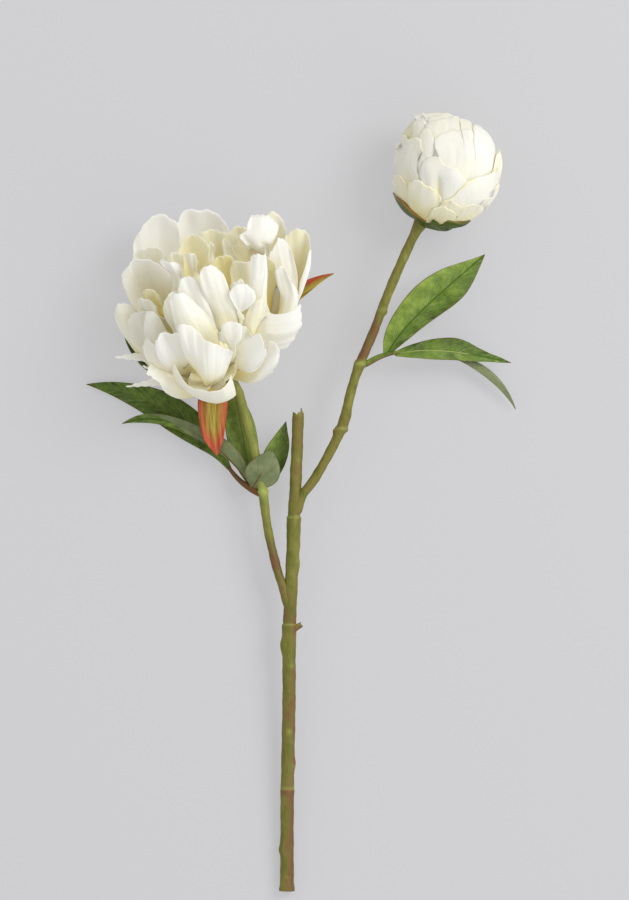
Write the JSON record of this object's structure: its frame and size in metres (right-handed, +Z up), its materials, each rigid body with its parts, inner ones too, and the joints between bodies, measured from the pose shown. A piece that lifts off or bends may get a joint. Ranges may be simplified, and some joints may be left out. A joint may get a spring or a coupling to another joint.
{
  "type": "cut peony spray",
  "caption": "Cut peony spray lying on a table: forked stem with an open double bloom, a round bud and compound leaves.",
  "frame": {"origin": "middle of the footprint, on the surface that the spray lies on", "axes": "+Y from the cut foot of the stem towards the flowers, +Z up away from the surface, +X towards the bud's side"},
  "size_m": [0.3114, 0.5644, 0.1123],
  "materials": {
    "stem": "olive stem with reddish brown blotches, satin",
    "bloom_petals": "creamy white cloth petals, yellowish in the depth, matt",
    "bloom_calyx": "red sepals with olive yellow inside, some green ones, satin",
    "bud_petals": "creamy white cloth petals wrapped in a ball, matt",
    "bud_calyx": "dark green sepals with red-brown edges, satin",
    "leaf_by_bud": "green cloth leaf with pale veins, satin",
    "leaf_by_bloom": "dark green cloth leaf, grey-green below, satin"
  },
  "bodies": {
    "root": {"stem": "stem", "bloom_petals": "bloom_petals", "bloom_calyx": "bloom_calyx", "bud_petals": "bud_petals", "bud_calyx": "bud_calyx", "leaf_by_bud": "leaf_by_bud", "leaf_by_bloom": "leaf_by_bloom"}
  },
  "joints": []
}
